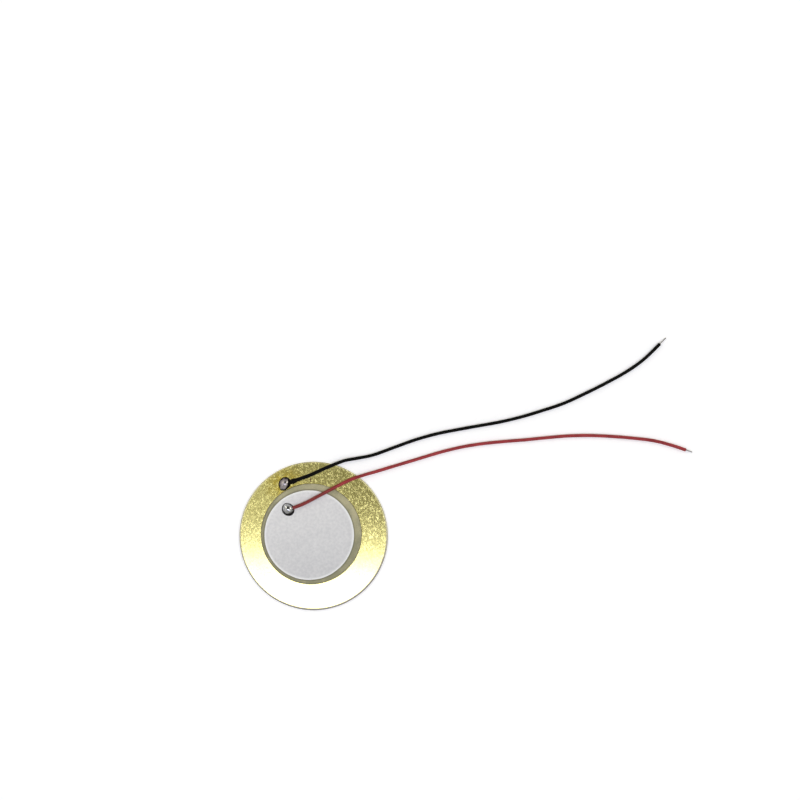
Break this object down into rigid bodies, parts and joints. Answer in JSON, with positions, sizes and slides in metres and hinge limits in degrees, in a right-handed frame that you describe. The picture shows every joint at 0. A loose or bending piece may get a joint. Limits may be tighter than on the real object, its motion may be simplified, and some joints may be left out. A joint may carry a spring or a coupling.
{
  "type": "piezo disc",
  "caption": "Round brass plate with a silvered piezo-ceramic disc bonded on it and soldered leads, used as a buzzer or contact pickup.",
  "frame": {"origin": "middle of the plate's underside, on the surface that the disc lies on", "axes": "+Z out of the plate's ceramic side; +X roughly along the leads, from the joints towards their free ends; +Y from the silver's solder joint towards the plate's"},
  "size_m": [0.1068, 0.0643, 0.0015],
  "materials": {
    "brass": "rolled, satin, fine speckle and light scratches",
    "glue": "thin clear-brown cured glue",
    "silver": "matt fired silver print",
    "ceramic": "matt grey-green fired ceramic",
    "solder": "bright reflowed solder",
    "black_jacket": "semi-gloss soft plastic",
    "red_jacket": "semi-gloss soft plastic",
    "tinned_wire": "tinned copper strands"
  },
  "bodies": {
    "root": {"brass_plate": "brass", "bond_film": "glue", "back_electrode": "silver", "ceramic_disc": "ceramic", "front_electrode": "silver", "plate_solder": "solder", "silver_solder": "solder", "black_lead": "black_jacket", "red_lead": "red_jacket", "black_wire": "tinned_wire", "red_wire": "tinned_wire"}
  },
  "joints": []
}
